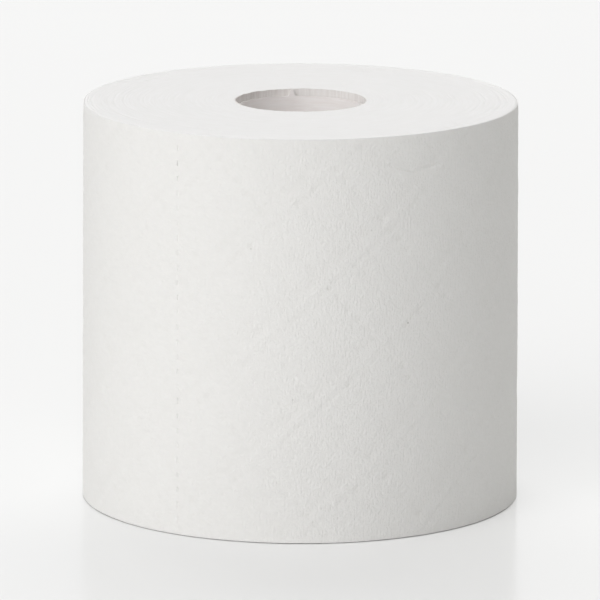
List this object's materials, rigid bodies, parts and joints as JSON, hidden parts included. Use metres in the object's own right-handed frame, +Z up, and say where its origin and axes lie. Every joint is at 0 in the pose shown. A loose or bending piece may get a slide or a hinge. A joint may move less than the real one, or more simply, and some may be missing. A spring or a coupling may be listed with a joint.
{
  "type": "toilet paper roll",
  "caption": "Full roll of embossed, perforated tissue paper wound on a recessed card tube, standing on one end.",
  "frame": {"origin": "on the roll's axis, in the plane of the lower end that it stands on", "axes": "+Z up along the roll's axis, through the card tube; -Y is the front, away from the end of the sheet"},
  "size_m": [0.1245, 0.1247, 0.114],
  "materials": {
    "tissue": "soft, dry, matt creped tissue with faint pressed dots",
    "core_card": "matt pale grey recycled card"
  },
  "bodies": {
    "root": {"paper_roll": "tissue", "core_tube": "core_card"}
  },
  "joints": []
}
